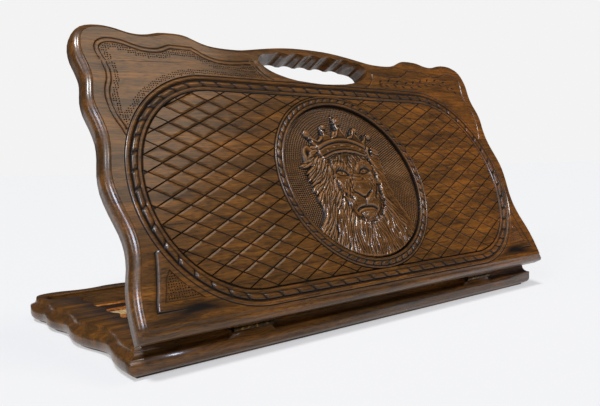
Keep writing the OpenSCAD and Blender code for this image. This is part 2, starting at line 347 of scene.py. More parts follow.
def open_rims(bm):
    """Each open rim of the bmesh as a closed list of (x, y)."""
    following = {}
    for edge in bm.edges:
        if edge.is_boundary:
            for a, b in (edge.verts, reversed(edge.verts)):
                following.setdefault(a, []).append(b)
    rims = []
    while following:
        start = next(iter(following))
        rim, before, here = [], None, start
        while here in following:
            rim.append((here.co.x, here.co.y))
            ahead = [v for v in following.pop(here) if v is not before and v in following]
            before, here = here, (ahead[0] if ahead else None)
        rims.append(np.array(rim))
    return sorted(rims, key=len, reverse=True)


shell = flat_shell()
rims = open_rims(shell)
outline = rims[0]
grip = min(rims[1:], key=lambda rim: abs(rim[:, 1].mean() - GRIP_CENTRE))
print("rims of the carved face:", [len(r) for r in rims])

# %% [markdown]
# ## Lines that the carver follows
# The rope border is a long ring with round ends, and everything in the middle of the face is set
# out from it. One function gives a point on that ring for a distance along it and an inset
# towards the middle. The corner panels are bounded by smooth curves through a few points.

# %% The border's line
BORDER_CENTRE = 136.6
BORDER_STRAIGHT = 164.6
BORDER_END = 115.0
BORDER_HALF_HEIGHT = 127.2
BORDER_STEPS = 1440


def border_table():
    """Points, inward directions and running lengths all round the border's outer line."""
    turn = np.linspace(0, 2 * np.pi, 20001)
    side = np.sign(np.cos(turn))
    x = side * BORDER_STRAIGHT + BORDER_END * np.cos(turn)
    y = BORDER_CENTRE + BORDER_HALF_HEIGHT * np.sin(turn)
    points = np.stack([x, y], 1)
    steps = np.diff(points, axis=0)
    length = np.concatenate([[0], np.cumsum(np.hypot(*steps.T))])
    inward = np.stack([-np.cos(turn) / BORDER_END, -np.sin(turn) / BORDER_HALF_HEIGHT], 1)
    inward /= np.linalg.norm(inward, axis=1)[:, None]
    return points, inward, length


border_points, border_inward, border_length = border_table()
BORDER_LENGTH = border_length[-1]


def border(distance, inset):
    """Points on the border line, moved inwards by inset; both may be arrays."""
    distance = np.mod(distance, BORDER_LENGTH)
    at = [
        np.interp(distance, border_length, column)
        for column in (*border_points.T, *border_inward.T)
    ]
    return np.stack([at[0] + inset * at[2], at[1] + inset * at[3]], -1)


border_line = border(np.arange(BORDER_STEPS) * BORDER_LENGTH / BORDER_STEPS, 0.0)
print(f"the rope border is {BORDER_LENGTH:.0f} mm round")


# %% Curves through a few points, and distances to them
def smooth_curve(points, steps=8):
    """A Catmull-Rom curve through the points."""
    p = np.array(points, float)
    p = np.concatenate([[2 * p[0] - p[1]], p, [2 * p[-1] - p[-2]]])
    t = np.arange(steps)[:, None] / steps
    curve = [
        0.5 * (2 * b + (c - a) * t + (2 * a - 5 * b + 4 * c - d) * t**2
               + (3 * b - a - 3 * c + d) * t**3)
        for a, b, c, d in zip(p, p[1:], p[2:], p[3:])
    ]
    return np.concatenate([*curve, p[-2:-1]])


def offset(line, distance, closed=False):
    """The line moved to its left by distance, with mitred corners."""
    if closed:
        before, after = line - np.roll(line, 1, 0), np.roll(line, -1, 0) - line
    else:
        steps = np.diff(line, axis=0)
        before = np.concatenate([steps[:1], steps])
        after = np.concatenate([steps, steps[-1:]])
    sides = []
    for step in (before, after):
        step = step / np.linalg.norm(step, axis=1)[:, None]
        sides.append(np.stack([-step[:, 1], step[:, 0]], 1))
    mitre = sides[0] + sides[1]
    return line + distance * mitre / (1 + (sides[0] * sides[1]).sum(1))[:, None]


def distance_to(points, line):
    """Distance from each point to an open line."""
    nearest = np.full(len(points), np.inf)
    for a, b in zip(line[:-1], line[1:]):
        step = b - a
        along = np.clip(((points - a) @ step) / (step @ step), 0, 1)
        gap = points - a - along[:, None] * step
        nearest = np.minimum(nearest, np.hypot(*gap.T))
    return nearest


def inside(points, loop):
    """Which points lie inside a closed loop."""
    x, y = points.T
    hit = np.zeros(len(points), bool)
    for (x1, y1), (x2, y2) in zip(loop, np.roll(loop, -1, 0)):
        crosses = (y1 > y) != (y2 > y)
        if y1 != y2:
            hit ^= crosses & (x < (x2 - x1) * (y - y1) / (y2 - y1) + x1)
    return hit


# %% [markdown]
# ## The face around the border
# The flat of the face carries V-shaped lines, punched bands and a spray of cut leaves. The way to
# make it is the carver's way: draw every line on the flat, then push the middle of each line down.
# Blender's constrained triangulation joins drawn lines into one sheet, so each V has crisp edges
# and the plain wood between costs almost no faces. Every drawn point brings its own depth.

# %% Panel lines in the corners, for the left side
LINE_HALF = 0.8
LINE_DEPTH = 1.1
DOUBLE_LINE_GAP = 4.6

panel_left = smooth_curve([
    (-268.2, 186), (-272, 198), (-276, 207), (-279, 219), (-280.3, 232), (-278.6, 242),
    (-275, 252), (-274, 262), (-276, 272), (-279, 281), (-279.6, 288), (-277, 294),
    (-271, 298.4), (-262, 300.2), (-250, 299), (-240, 295.6), (-230, 293), (-220, 292.4),
    (-210, 294), (-203, 297.4), (-198, 299.2),
], 5)
panel_middle = smooth_curve([
    (-172, 299.2), (-166, 295.6), (-157, 290.4), (-145, 286.4), (-133, 285.4), (-120, 286),
    (-106, 287.8), (-95, 288.6),
], 5)
panel_right = smooth_curve([
    (-95, 288.6), (-92, 280.5), (-85, 272), (-76, 266.2), (-67, 265.6),
], 5)
panel_line = np.concatenate([panel_left, panel_middle, panel_right[1:-3]])
lower_corner_line = np.concatenate([
    smooth_curve([(-269.4, 76), (-270.6, 68), (-273, 55), (-277, 38), (-279.6, 29),
                  (-280.6, 21)], 5),
    np.array([(-240, 20.6), (-217, 20.8)]),
])
print("panel lines have", len(panel_line), "and", len(lower_corner_line), "points")


# %% [markdown]
# ## Drawing with a depth
# Each line is kept as points, their depths and how dark they are painted there, for the stain
# that pools in a cut and the shade that falls in it. A groove is five lines side by side: its
# bottom, and two on each side that round its shoulders over. A punch mark is a deep point in a
# small ring of points that stay on the surface.

# %% Drawing lines, each with its depth
drawn_points, drawn_depths, drawn_stain_and_shade, drawn_edges = [], [], [], []


def draw(line, depth, closed=False, stain_and_shade=None):
    """Add a line; without a darkness of its own, its painted stain and shade are as dark as it is
    deep.
    """
    first, count = len(drawn_points), len(line)
    depth = np.broadcast_to(depth, count)
    drawn_points.extend(map(tuple, line))
    drawn_depths.extend(depth)
    drawn_stain_and_shade.extend(-depth / LINE_DEPTH if stain_and_shade is None else [stain_and_shade] * count)
    drawn_edges.extend(
        (first + i, first + (i + 1) % count) for i in range(count if closed else count - 1)
    )


def draw_groove(line, half=LINE_HALF, depth=LINE_DEPTH):
    """A line with rounded shoulders, which runs out to nothing at its two ends."""
    middle = np.full(len(line), -depth)
    middle[[0, -1]] = 0
    draw(line, middle)
    for share, fall in ((0.5, 0.4), (1.0, 0.1), (1.9, 0.0)):
        for shift in (-half * share, half * share):
            draw(offset(line, shift)[2:-2], -depth * fall, stain_and_shade=0.5 * fall)


def mirrored(line):
    return (line * (-1, 1))[::-1]


PUNCH_PITCH = 2.5
PUNCH_RADIUS = 0.98
PUNCH_DEPTH = 1.3
PUNCH_SHAKE = 0.36
PUNCH_CORNERS = 5
punch_seed = np.random.default_rng(7)


def punch_marks(loop, allowed, base=0.0):
    """Punched dots inside a loop, on a shaken grid, where allowed(points) says so."""
    low, high = loop.min(0), loop.max(0)
    grid = np.stack(np.meshgrid(
        np.arange(low[0], high[0], PUNCH_PITCH), np.arange(low[1], high[1], PUNCH_PITCH)
    ), -1).reshape(-1, 2)
    grid += punch_seed.uniform(-PUNCH_SHAKE, PUNCH_SHAKE, grid.shape)
    grid = grid[inside(grid, loop)]
    grid = grid[allowed(grid)]
    turn = np.arange(PUNCH_CORNERS) * 2 * np.pi / PUNCH_CORNERS
    rim = PUNCH_RADIUS * np.stack([np.cos(turn), np.sin(turn)], 1)
    for centre in grid:
        # Each dent's bottom is painted darkest, as stain and as shade.
        draw(centre[None], base - PUNCH_DEPTH, stain_and_shade=1.0)
        draw(centre + rim, base, stain_and_shade=0.0)
    return len(grid)


print("punch marks are", PUNCH_PITCH, "mm apart")

# %% [markdown]
# ## Corner panels
# Each corner panel has a double line with a band of punch marks along it and along the border.
# The lower corners have a broader line and a sunk triangle that is punched all over. The right
# side mirrors the left, except that its upper panel keeps plain wood for the leaf spray.

# %% The face's lines
PUNCH_BAND = 8.0
PUNCH_CLEAR = 1.9
CORNER_HALF, CORNER_DEPTH = 2.2, 1.5
TRIANGLE_GAP = 5.2
TRIANGLE_STEP = 90
face_hole = border(np.arange(BORDER_STEPS) * BORDER_LENGTH / BORDER_STEPS, -0.9)
draw(outline, 0, closed=True)
draw(grip, 0, closed=True)
draw(face_hole, 0, closed=True)

panel_inner = offset(panel_line, -DOUBLE_LINE_GAP)[3:-2]
draw_groove(panel_line)
draw_groove(panel_inner)
draw_groove(mirrored(panel_line))
for corner in (lower_corner_line, mirrored(lower_corner_line)):
    draw_groove(corner, CORNER_HALF, CORNER_DEPTH)

border_closed = np.concatenate([border_line, border_line[:1]])


def in_panel_band(points):
    to_line = distance_to(points, panel_inner)
    to_border = distance_to(points, border_closed)
    clear = (to_line > PUNCH_CLEAR) & (to_border > PUNCH_CLEAR) & ~inside(points, border_line)
    return clear & ((to_line < PUNCH_BAND) | (to_border < PUNCH_BAND))


marks = punch_marks(panel_inner, in_panel_band)

TRIANGLE_FLOOR = -0.9
below = (border_points[:, 0] < -200) & (border_points[:, 1] < 61) & (border_points[:, 1] > 30)
hypotenuse = (border_points - TRIANGLE_GAP * border_inward)[below][::TRIANGLE_STEP]
triangle = np.concatenate([
    hypotenuse, np.array([(-235, 28), (-254, 28), (-273, 28), (-269.8, 38), (-266.8, 50)]),
])
for corner in (triangle, mirrored(triangle)):
    middle = corner.mean(0)
    floor = middle + (corner - middle) * (1 - 0.9 / 11)
    draw(corner, 0, closed=True)
    draw(floor, TRIANGLE_FLOOR, closed=True, stain_and_shade=0.45)
    inner = middle + (corner - middle) * 0.86
    marks += punch_marks(inner, lambda p: np.full(len(p), True), TRIANGLE_FLOOR)
print(marks, "punch marks")


# %% [markdown]
# ## The leaf spray
# The upper right panel holds a spray of small leaves on a thin stem. A chip-cut leaf is two
# slanting knife strokes that meet in a deep middle line, so its outline stays on the surface
# and its spine goes down. Leaves alternate along the stem and one ends it.

# %% A spray of chip-cut leaves in the upper right panel
LEAF_LENGTH = 12.0
LEAF_WIDTH = 4.6
LEAF_PITCH = 8.4
LEAF_CUT = 1.3

stem = smooth_curve([
    (99, 272), (130, 275.5), (160, 274), (190, 279), (215, 283), (240, 281), (256, 271),
], 6)


def draw_leaf(root, angle, size=1.0):
    turn = np.array([math.cos(angle), math.sin(angle)])
    side = np.array([-turn[1], turn[0]])
    along = np.linspace(0, 1, 6)
    bulge = np.sin(np.pi * along ** 0.8) * LEAF_WIDTH * size / 2
    spine = root + np.outer(along * LEAF_LENGTH * size, turn)
    edge = np.concatenate([
        spine + np.outer(bulge, side), (spine - np.outer(bulge, side))[-2:0:-1],
    ])
    draw(edge, 0, closed=True)
    draw(spine[1:-1], -LEAF_CUT * size)


stem_steps = np.hypot(*np.diff(stem, axis=0).T)
stem_length = np.concatenate([[0], np.cumsum(stem_steps)])
leaf_side = 1
for distance in np.arange(4, stem_length[-1] - 4, LEAF_PITCH):
    root = np.array([np.interp(distance, stem_length, stem[:, i]) for i in (0, 1)])
    ahead = np.array([np.interp(distance + 1, stem_length, stem[:, i]) for i in (0, 1)])
    heading = math.atan2(*(ahead - root)[::-1])
    draw_leaf(
        root + 1.6 * leaf_side * np.array([-math.sin(heading), math.cos(heading)]),
        heading + leaf_side * math.radians(30), 0.82,
    )
    leaf_side = -leaf_side
draw_leaf(stem[-1], math.atan2(*(stem[-1] - stem[-3])[::-1]), 0.9)
draw_groove(stem[:-2], 0.45, 0.7)
print("leaf spray on a stem of", round(stem_length[-1]), "mm")


# %% Join the drawn lines into the carved face
def carved_face():
    """One sheet through every drawn line, with the border's hole and the grip left open."""
    points, _, triangles, sources, _, _ = geometry.delaunay_2d_cdt(
        [Vector(p) for p in drawn_points], drawn_edges, [], 0, 1e-4, True
    )
    flat = np.array([tuple(p) for p in points])
    depth, stain_and_shade = (
        np.array([pick((known[i] for i in source), default=0.0) for source in sources])
        for pick, known in ((min, drawn_depths), (max, drawn_stain_and_shade))
    )
    corners = np.array(triangles)
    centres = flat[corners].mean(1)
    wood = inside(centres, outline) & ~inside(centres, grip) & ~inside(centres, face_hole)
    bm = bmesh.new()
    cut = bm.verts.layers.float.new("cut")
    verts = []
    for (x, y), z, dark in zip(flat, depth, stain_and_shade):
        vert = bm.verts.new((x, y, face_z + z))
        vert[cut] = min(1.0, dark)
        verts.append(vert)
    for triangle_corners in corners[wood]:
        bm.faces.new([verts[i] for i in triangle_corners])
    loose = [v for v in bm.verts if not v.link_faces]
    bmesh.ops.delete(bm, geom=loose, context="VERTS")
    face_up(bm)
    return bm


def face_up(bm):
    """Turn an open sheet so that its faces point up."""
    bm.normal_update()
    if sum(f.normal.z * f.calc_area() for f in bm.faces) < 0:
        bmesh.ops.reverse_faces(bm, faces=bm.faces)


face = carved_face()
print("carved face:", len(face.faces), "triangles")

# %% [markdown]
# ## Long mouldings as bent grids
# The rope border and the rope ring are the same section all the way round, cut into beads. A
# grid is laid out with its columns along the moulding and its rows across it, and each point
# is then moved to its place. Rows are spaced close together where the section turns.

# %% Bending a grid
def bent_grid(columns, section, shape, closed=True):
    """section is a list of (across, height, cut); shape(column, row data) gives x, y, z, cut."""
    rows = len(section) - 1
    bm = bmesh.new()
    cut = bm.verts.layers.float.new("cut")
    bmesh.ops.create_grid(bm, x_segments=columns, y_segments=rows, size=0.5)
    place_in = np.array([v.co[:2] for v in bm.verts])
    column = np.rint((place_in[:, 0] + 0.5) * columns)
    row = np.rint((place_in[:, 1] + 0.5) * rows).astype(int)
    x, y, z, darkness = shape(column, *np.array(section)[row].T)
    for vert, *co, dark in zip(bm.verts, x, y, z, darkness):
        vert.co = co
        vert[cut] = float(np.clip(dark, 0, 1))
    if closed:
        bmesh.ops.remove_doubles(bm, verts=bm.verts, dist=SAME)
    face_up(bm)
    return bm


def beads(along, across, pitch, slant, gap):
    """1 on a bead and 0 in the slanted gaps between beads."""
    phase = (along + slant * across) / pitch
    to_gap = np.abs(phase - np.rint(phase)) * pitch
    return 1 - np.exp(-((to_gap / gap) ** 2))


# %% Rope border
FIELD_LEVEL = -2.0
ROPE_INSET = 9.2
ROPE_HALF = 3.3
ROPE_BEADS = 70
FIELD_INSET = 17.2
border_section = [
    (-0.9, 0.0, 0.0), (0.0, -1.1, 1.0), (0.9, 0.0, 0.0), (2.4, 0.0, 0.0), (3.9, 0.0, 0.0),
    (4.5, -1.0, 0.9), (5.0, -0.9, 0.5), (5.6, -1.6, 0.6), (6.0, -2.3, 0.9), (6.6, -2.1, 0.6),
    (7.4, -1.9, 0.2), (8.3, -1.9, 0.0), (9.2, -1.9, 0.0), (10.1, -1.9, 0.0),
    (11.0, -1.9, 0.1), (11.8, -2.1, 0.4), (12.4, -2.3, 0.7), (13.0, -2.0, 0.3),
    (14.0, -1.5, 0.0), (15.0, -1.4, 0.0), (15.8, -1.8, 0.1), (16.5, -2.6, 0.8),
    (FIELD_INSET, -3.2, 1.0),
]


def border_shape(column, across, height, cut):
    along = column * BORDER_LENGTH / BORDER_STEPS
    x, y = border(along, across).T
    bead = beads(along, across - ROPE_INSET, BORDER_LENGTH / ROPE_BEADS, 0.9, 1.9)
    round_rod = np.clip(1 - ((across - ROPE_INSET) / ROPE_HALF) ** 2, 0, 1) ** 0.5
    on_rod = round_rod > 0.05
    z = face_z + height + 1.9 * round_rod * bead
    # The grooves and the gaps between beads are painted darker, as stain and as the shade that
    # falls in them.
    return x, y, z, np.where(on_rod, cut + 0.75 * (1 - bead), cut)


rope_border = bent_grid(BORDER_STEPS, border_section, border_shape)
print("rope border:", ROPE_BEADS, "beads,", len(rope_border.faces), "faces")

# %% Rope ring round the medallion
RING_OUTER = 111.4
RING_ROPE = 105.4
RING_BEADS = 57
RING_STEPS = 684
ring_section = [
    (111.4, -3.2, 1.0), (110.8, -1.6, 0.3), (110.2, -0.9, 0.0), (109.5, -0.7, 0.0),
    (108.9, -1.2, 0.3), (108.4, -2.0, 0.9), (107.8, -2.0, 0.5), (106.9, -2.0, 0.0),
    (105.9, -2.0, 0.0), (104.9, -2.0, 0.0), (103.9, -2.0, 0.0), (103.0, -2.0, 0.4),
    (102.5, -2.0, 0.9), (102.0, -1.1, 0.3), (101.2, -0.6, 0.0), (100.2, -0.5, 0.0),
    (99.5, -0.8, 0.1), (99.1, -1.7, 0.5), (98.9, -3.6, 0.8), (98.8, -5.0, 0.95),
    (98.7, -6.4, 1.0),
]


def ring_shape(column, radius, height, cut):
    turn = column * 2 * np.pi / RING_STEPS
    bead = beads(turn * RING_ROPE, radius - RING_ROPE, 2 * np.pi * RING_ROPE / RING_BEADS,
                 0.8, 1.6)
    round_rod = np.clip(1 - ((radius - RING_ROPE) / 2.9) ** 2, 0, 1) ** 0.5
    z = face_z + height + 1.7 * round_rod * bead
    x = MEDALLION[0] + radius * np.cos(turn)
    y = MEDALLION[1] + radius * np.sin(turn)
    # The grooves, the recess wall and the gaps between beads are painted darker, as stain and as
    # shade.
    return x, y, z, np.where(round_rod > 0.05, cut + 0.7 * (1 - bead), cut)


rope_ring = bent_grid(RING_STEPS, ring_section, ring_shape)
print("rope ring:", RING_BEADS, "beads,", len(rope_ring.faces), "faces")

# %% [markdown]
# ## The diamond lattice
# The field inside the border is one flat face on each side of the medallion. Knife cuts along
# two families of parallel lines part it into diamonds. Each diamond is then inset, and what
# stays at the old edges is pushed down, which makes clean V-shaped lines with flat diamonds.

# %% Lattice field
LATTICE_WIDE = 34.9
LATTICE_HIGH = 17.9
LATTICE_NODE = Vector((-12.5, 135.4, 0))
LATTICE_HALF = 0.8
LATTICE_DEPTH = 1.3
DIAMOND_SHOULDER = 1.7
SHOULDER_DROP = 0.32
LATTICE_LINES = 18
SMALLEST_DIAMOND = 12
field_z = face_z + FIELD_LEVEL


def field_outline():
    """The left field, between the border's inner line and the medallion's ring."""
    inner = border(np.arange(BORDER_STEPS) * BORDER_LENGTH / BORDER_STEPS, FIELD_INSET)
    off_ring = np.hypot(inner[:, 0], inner[:, 1] - MEDALLION[1]) > RING_OUTER + 0.4
    edge = inner[(inner[:, 0] < 0) & off_ring][::3]
    start, end = (
        math.atan2(p[1] - MEDALLION[1], p[0]) % (2 * math.pi) for p in (edge[-1], edge[0])
    )
    turn = np.linspace(start, end, 150)[1:-1]
    arc = np.stack([
        MEDALLION[0] + RING_OUTER * np.cos(turn), MEDALLION[1] + RING_OUTER * np.sin(turn)
    ], 1)
    return np.concatenate([edge, arc])


def lattice_field():
    bm = bmesh.new()
    left = field_outline()
    for loop in (left, left * (-1, 1)):
        bm.faces.new([bm.verts.new((x, y, field_z)) for x, y in loop])
    slope = math.atan2(LATTICE_HIGH, LATTICE_WIDE)
    spacing = LATTICE_HIGH * math.cos(slope)
    for angle in (slope, -slope):
        normal = Vector((-math.sin(angle), math.cos(angle), 0))
        for k in range(-LATTICE_LINES, LATTICE_LINES + 1):
            bmesh.ops.bisect_plane(
                bm, geom=bm.verts[:] + bm.edges[:] + bm.faces[:], dist=SAME,
                plane_co=LATTICE_NODE + k * spacing * normal, plane_no=normal,
            )
    cut = bm.verts.layers.float.new("cut")
    in_cuts = bm.verts[:]
    diamonds = [f for f in bm.faces if f.calc_area() > SMALLEST_DIAMOND]
    bmesh.ops.inset_individual(
        bm, faces=diamonds, thickness=LATTICE_HALF, depth=0, use_even_offset=True
    )
    whole = [f for f in diamonds if len(f.verts) == 4 and min(
        e.calc_length() for e in f.edges) > 4 * DIAMOND_SHOULDER]
    on_shoulders = {v for f in whole for v in f.verts}
    bmesh.ops.inset_individual(
        bm, faces=whole, thickness=DIAMOND_SHOULDER, depth=0, use_even_offset=True
    )
    for vert in on_shoulders:
        vert.co.z -= SHOULDER_DROP
    # The bottoms of the lines are painted darkest, as stain and as shade.
    for vert in in_cuts:
        vert.co.z -= LATTICE_DEPTH
        vert[cut] = 1.0
    face_up(bm)
    return bm


lattice = lattice_field()
print("lattice:", len(lattice.faces), "faces")

# %% [markdown]
# ## The lion's head
# The medallion's picture is a low relief: every point of it can be reached from straight above,
# so one height for each point of a fine grid describes all of it. The grid is bent to a disc
# first. The picture is then built up as a carver does: the floor with its gouge marks, the big
# masses, the features of the face, the mane lock by lock, and the crown last.

# %% A fine disc to carve on
DISC_STEPS = 290
DISC_RADIUS = 98.95
LOWEST_TOP = -0.4

across_grid, up_grid = np.meshgrid(*[np.linspace(-1, 1, DISC_STEPS + 1)] * 2)
spots = np.stack([
    MEDALLION[0] + DISC_RADIUS * (across_grid * np.sqrt(1 - up_grid ** 2 / 2)).ravel(),
    MEDALLION[1] + DISC_RADIUS * (up_grid * np.sqrt(1 - across_grid ** 2 / 2)).ravel(),
], 1)
relief = np.zeros(len(spots))


# %% A carver's tools
def smooth_step(value):
    value = np.clip(value, 0, 1)
    return value * value * (3 - 2 * value)


def near(line, reach):
    """Indices of the spots in the line's box, widened by reach."""
    line = np.atleast_2d(line)
    low, high = line.min(0) - reach, line.max(0) + reach
    return np.nonzero(np.all((spots > low) & (spots < high), axis=1))[0]


def swell(centre, radii, height, turn=0.0):
    """A smooth hump, or a hollow where the height is negative."""
    here = near(centre, max(radii))
    c, s = math.cos(math.radians(turn)), math.sin(math.radians(turn))
    away = (spots[here] - centre) @ np.array([[c, -s], [s, c]]) / radii
    relief[here] += height * np.clip(1 - (away ** 2).sum(1), 0, 1) ** 1.5


def raise_line(points, half, height, steps=6):
    """A rounded ridge along a curve, or a channel where the height is negative."""
    line = smooth_curve(points, steps)
    here = near(line, half)
    from_line = distance_to(spots[here], line) / half
    relief[here] += height * np.clip(1 - from_line ** 2, 0, 1)


def cut_line(points, half, depth, steps=6):
    """A V-shaped knife cut along a curve."""
    line = smooth_curve(points, steps)
    here = near(line, half)
    relief[here] -= depth * np.clip(1 - distance_to(spots[here], line) / half, 0, 1)


def build_up(loop, height, soft):
    """Raise what is inside a loop to at least a height, with a rounded edge."""
    here = near(loop, 0)
    here = here[inside(spots[here], loop)]
    rim = np.concatenate([loop, loop[:1]])
    to_edge = distance_to(spots[here], rim)
    relief[here] = np.maximum(relief[here], height * smooth_step(to_edge / soft) ** 0.6)


# %% [markdown]
# ## The floor, the masses and the features
# The floor is sunk with a small gouge, in rings round the head, so each mark is a shallow dish
# between thin ridges. The mane, the ears and the face are then raised as soft-edged masses, and
# humps, ridges and knife cuts on them make the brows, eyes, muzzle, nose and mouth.

# %% Floor with rows of gouge marks
GOUGE_ROW = 2.8
GOUGE_PITCH = 2.5
GOUGE_DEPTH = 0.7
HEAD_CENTRE = np.array([0.0, 142.0])

out_x, out_y = (spots - HEAD_CENTRE).T
out_radius = np.hypot(out_x, out_y)
row = np.floor(out_radius / GOUGE_ROW)
marks_in_row = np.maximum(1, np.rint(2 * np.pi * (row + 0.5) * GOUGE_ROW / GOUGE_PITCH))
turn = np.arctan2(out_y, out_x) / (2 * np.pi) * marks_in_row + 0.5 * (row % 2)
mark = np.abs(turn - np.rint(turn)) * 2
end = np.abs(out_radius / GOUGE_ROW - row - 0.5) * 2
relief += GOUGE_DEPTH * (1 - (1 - mark ** 2) * (1 - end ** 4))
print("floor of gouge marks,", GOUGE_PITCH, "mm apart")

# %% Masses of the mane, the ears and the face
hair_roots = np.array([
    (-32, 166), (-34, 155), (-34, 142), (-33, 129), (-30, 115), (-25, 100), (-18, 88),
    (-11, 85), (-3, 83), (4, 83), (12, 85), (20, 90), (27, 98), (32, 111), (35, 126),
    (35, 141), (34, 154), (32, 165),
], float)
hair_tips = np.array([
    (-56, 168), (-62, 157), (-59, 140), (-61, 119), (-65, 99), (-74, 77), (-68, 57),
    (-44, 46), (-20, 41), (4, 40), (28, 42), (50, 48), (69, 60), (63, 80), (54, 108),
    (48, 132), (47, 150), (45, 168),
], float)
left_ear = np.array([
    (-68, 158), (-67, 168), (-63, 180), (-55, 184), (-47, 178), (-40, 166), (-40, 152),
    (-52, 148),
], float)
right_ear = np.array([
    (32, 160), (33, 174), (37, 182), (43, 181), (48, 172), (48, 160), (44, 150), (36, 150),
], float)
face_loop = smooth_curve(np.concatenate([
    hair_roots, [(20, 171), (-1, 174), (-22, 171)], hair_roots[:1],
]), 5)[:-1]
mane_loop = smooth_curve(np.concatenate([
    hair_tips, [(20, 176), (-22, 176)], hair_tips[:1],
]), 5)[:-1]

for ear in (left_ear, right_ear):
    build_up(smooth_curve(np.concatenate([ear, ear[:1]]), 4)[:-1], 2.3, 5)
swell((-57, 172), (6.5, 9), -1.7, 20)
swell((41, 172), (4.5, 8), -1.6, -10)
build_up(mane_loop, 2.3, 7)
build_up(face_loop, 3.1, 6)
swell((-1, 122), (40, 52), 0.8)

# %% Features of the face
swell((-1, 160), (9, 17), -0.3)
for side, eye_x, eye_y in ((-1, -17.5, 145), (1, 18.0, 146.5)):
    out = lambda x, y: (eye_x + side * x, eye_y + y)
    swell(out(0, -0.5), (13, 9.5), -2.1)
    swell(out(-10, -3), (5, 5), -0.6)
    raise_line([out(-11, 1), out(-4, 8.5), out(5, 10.5), out(13, 5)], 5.2, 1.3)
    raise_line([out(-9, -6), out(-1, -7), out(9, -3)], 3.0, 0.45)
    swell(out(0, 0), (6.0, 3.4), 1.1, side * 12)
    cut_line([out(-9.5, -3.4), out(-5, 1.6), out(1, 3.6), out(6, 3), out(9, 0.2)], 1.4, 0.9)
    cut_line([out(-9.5, -3.4), out(-3, -3.2), out(3, -2.6), out(8, 0)], 1.0, 0.5)
    swell(out(-0.6, 0.2), (2.4, 2.4), -0.8)
    cut_line([out(-3, 13), out(5, 15), out(11, 11)], 1.4, 0.35)
    swell(out(5, -17), (13, 11), 1.1, side * -20)
    swell(out(9, -33), (8, 12), -0.7, side * -20)
    swell((eye_x * 0.5 - 0.5, 161), (8, 8), 0.7)
swell((2.5, 137), (10.5, 30), 1.4)
swell((4, 121), (13, 8), 0.9)
for crease in (0, 4.6, 9.2):
    cut_line([(-7, 136 + crease), (-1, 134 + crease), (6, 134 + crease), (11, 136.5 + crease)],
             1.3, 0.3)
for side in (-1, 1):
    swell((3 + side * 9.5, 128), (5, 10), 0.5, side * -6)
    swell((2 + side * 12.5, 106.5), (15, 12.5), 2.0, side * 14)
    swell((4 + side * 10.5, 117.5), (4.5, 3.4), 0.5)
    cut_line([(4 + side * 13, 120), (4 + side * 8.5, 117.5), (4 + side * 4, 114.2),
              (4, 112.6)], 2.3, 2.0)
    cut_line([(4 + side * 13, 120), (4 + side * 15, 123), (4 + side * 14, 127)], 1.3, 0.6)
    for along_lip in range(3):
        for down_lip in range(2):
            swell((2 + side * (8 + 4.3 * along_lip), 108.5 - 3.6 * down_lip - along_lip),
                  (1.0, 1.0), -0.35)
cut_line([(-31, 134), (-26, 122), (-16, 112)], 3.4, 1.7)
cut_line([(30, 128), (26, 118), (19, 110)], 2.8, 0.9)
cut_line([(4, 113), (3, 108), (1, 103.5)], 1.6, 1.3)
swell((0.5, 91), (11, 8), 1.3)
cut_line([(-14, 97), (-10, 99.3), (-5, 100.8), (1, 101.2), (8, 100.8), (13, 99.3), (16, 97)],
         2.4, 2.1)
raise_line([(-8, 96.4), (0.5, 97.8), (9, 96.4)], 2.2, 0.7)

print("face carved, highest point", round(relief.max(), 2), "mm above the floor")

# %% [markdown]
# ## The mane
# A lock is a half-round rod that tapers to its tip. The outermost row is laid first and the
# rows nearer the face overlap it, as hair does. Short fur on the face only adds a little to
# what is there. All of it comes from one seeded set of random numbers, so it is always alike.

# %% The mane, lock by lock
HAIR_PITCH = 3.1
HAIR_HALF = 1.75
HAIR_HEIGHT = 2.1
HAIR_CENTRE = np.array([0.0, 198.0])
hair_seed = np.random.default_rng(11)


def spaced(line, pitch):
    """Points at an even pitch along a line, with their share of the way."""
    run = np.concatenate([[0], np.cumsum(np.hypot(*np.diff(line, axis=0).T))])
    at = np.arange(pitch / 2, run[-1], pitch)
    return np.stack([np.interp(at, run, line[:, i]) for i in (0, 1)], 1), at / run[-1]


def hair(root, length, level, half=HAIR_HALF, lean=0.0, height=HAIR_HEIGHT):
    """One tapering strand that runs out and down from its root."""
    steps = 7
    bend = hair_seed.uniform(-0.5, 0.5)
    at, path = np.array(root, float), []
    for i in range(steps + 1):
        path.append(at.copy())
        away = at - HAIR_CENTRE
        heading = math.atan2(away[1], away[0]) + lean + bend * (i / steps - 0.4)
        heading += 0.22 * math.sin(at[0] / 7.3 + at[1] / 11.0)
        at = at + length / steps * np.array([math.cos(heading), math.sin(heading)])
    path = np.array(path)
    here = near(path, half)
    a, b = path[:-1], path[1:] - path[:-1]
    offset_to = spots[here][:, None] - a
    share = np.clip((offset_to * b).sum(2) / (b ** 2).sum(1), 0, 1)
    gap = np.hypot(*np.moveaxis(offset_to - share[..., None] * b, 2, 0))
    nearest = gap.argmin(1)
    rows = np.arange(len(here))
    along = (nearest + share[rows, nearest]) / steps
    width = half * np.clip(np.minimum(0.6 + 2 * along, 2.6 * (1 - along) + 0.15), 0.15, 1)
    rod = np.clip(1 - (gap[rows, nearest] / width) ** 2, 0, 1) ** 0.5
    if level is None:
        relief[here] += height * rod
        return
    top = level + height * rod - 0.9 * along ** 2
    on_rod = rod > 0
    relief[here[on_rod]] = np.maximum(relief[here[on_rod]], top[on_rod])


